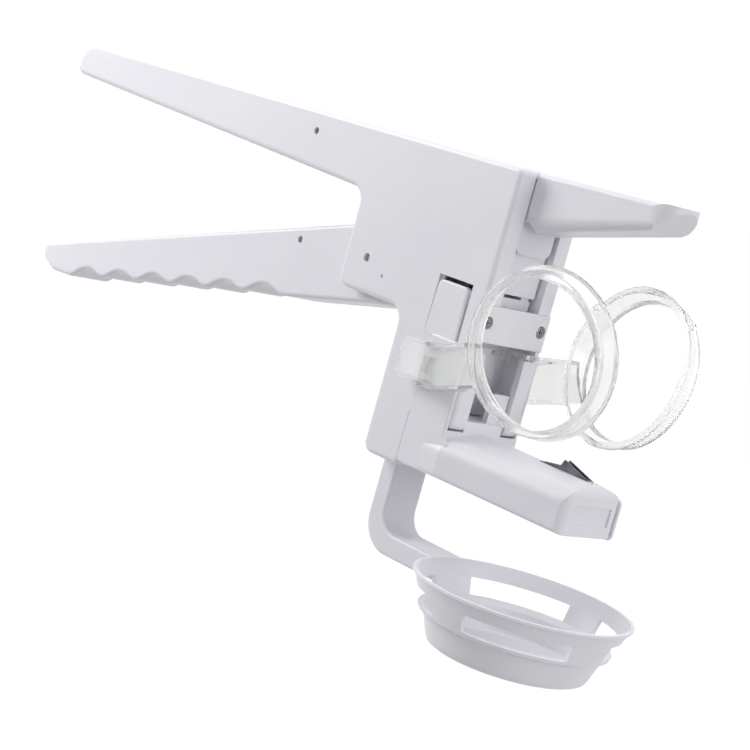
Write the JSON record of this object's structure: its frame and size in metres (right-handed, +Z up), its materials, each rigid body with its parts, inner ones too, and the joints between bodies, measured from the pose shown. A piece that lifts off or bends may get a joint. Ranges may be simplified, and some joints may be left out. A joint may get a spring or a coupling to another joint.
{
  "type": "egg cracker",
  "caption": "Squeeze egg cracker: a sprung trigger lowers a nose onto an egg cradled in clear rings above steel blades, with a clip-on separator cup.",
  "frame": {"origin": "centre of the separator cup's flat base, below the egg's place", "axes": "+X forward, from the handle's end to the nose; +Y to the tool's left; +Z up, from the cup to the handle's flat top"},
  "size_m": [0.2674, 0.0588, 0.1236],
  "materials": {
    "white_casing": "satin",
    "white_inner": "satin",
    "clear_plastic": "clear, polished",
    "blade_steel": "ground",
    "zinc_screw": "zinc plated",
    "steel_pin": "plain",
    "spring_steel": "plain"
  },
  "bodies": {
    "body": {"right_shell": "white_casing", "left_shell": "white_casing", "case_screws": "zinc_screw", "pivot_pin": "steel_pin", "front_plate": "white_casing", "plate_screws": "zinc_screw", "blade_arm": "white_casing", "right_blade": "blade_steel", "left_blade": "blade_steel", "blade_clamp": "white_inner", "blade_screws": "zinc_screw", "right_ring_pin": "steel_pin", "left_ring_pin": "steel_pin", "right_press_spring": "spring_steel", "left_press_spring": "spring_steel"},
    "trigger": {"trigger_right_shell": "white_casing", "trigger_left_shell": "white_casing", "trigger_screws": "zinc_screw", "trigger_lever": "white_inner"},
    "press": {"press_nose": "white_casing", "press_carriage": "white_inner", "press_pin": "steel_pin", "press_screw": "zinc_screw"},
    "right_cradle": {"right_ring": "clear_plastic"},
    "left_cradle": {"left_ring": "clear_plastic"},
    "separator": {"egg_separator": "white_casing"}
  },
  "joints": [
    {"name": "trigger_squeeze", "type": "hinge", "parent": "body", "child": "trigger", "pos_m": [-0.0773, 0, 0.087], "axis": [0, 1, 0], "range_deg": [0, 19], "stiffness_Nm_per_rad": 1.2, "springref_deg": -11.46},
    {"name": "press_slide", "type": "slide", "parent": "body", "child": "press", "axis": [0, 0, -1], "range_m": [0, 0.01403], "deforming": ["right_press_spring", "left_press_spring"]},
    {"name": "right_ring_swing", "type": "hinge", "parent": "body", "child": "right_cradle", "pos_m": [-0.0413, -0.0156, 0.0663], "axis": [0, 0, -1], "range_deg": [0, 12.01]},
    {"name": "left_ring_swing", "type": "hinge", "parent": "body", "child": "left_cradle", "pos_m": [-0.0413, 0.0156, 0.0663], "axis": [0, 0, 1], "range_deg": [0, 12.01]},
    {"name": "separator_clip", "type": "slide", "parent": "body", "child": "separator", "axis": [0, 0, -1], "range_m": [0, 0.024]}
  ],
  "couplings": [
    {"joint": "press_slide", "follows": "trigger_squeeze", "m_per_rad": 0.042288},
    {"joint": "right_ring_swing", "follows": "trigger_squeeze", "ratio": 0.63158},
    {"joint": "left_ring_swing", "follows": "trigger_squeeze", "ratio": 0.63158}
  ]
}
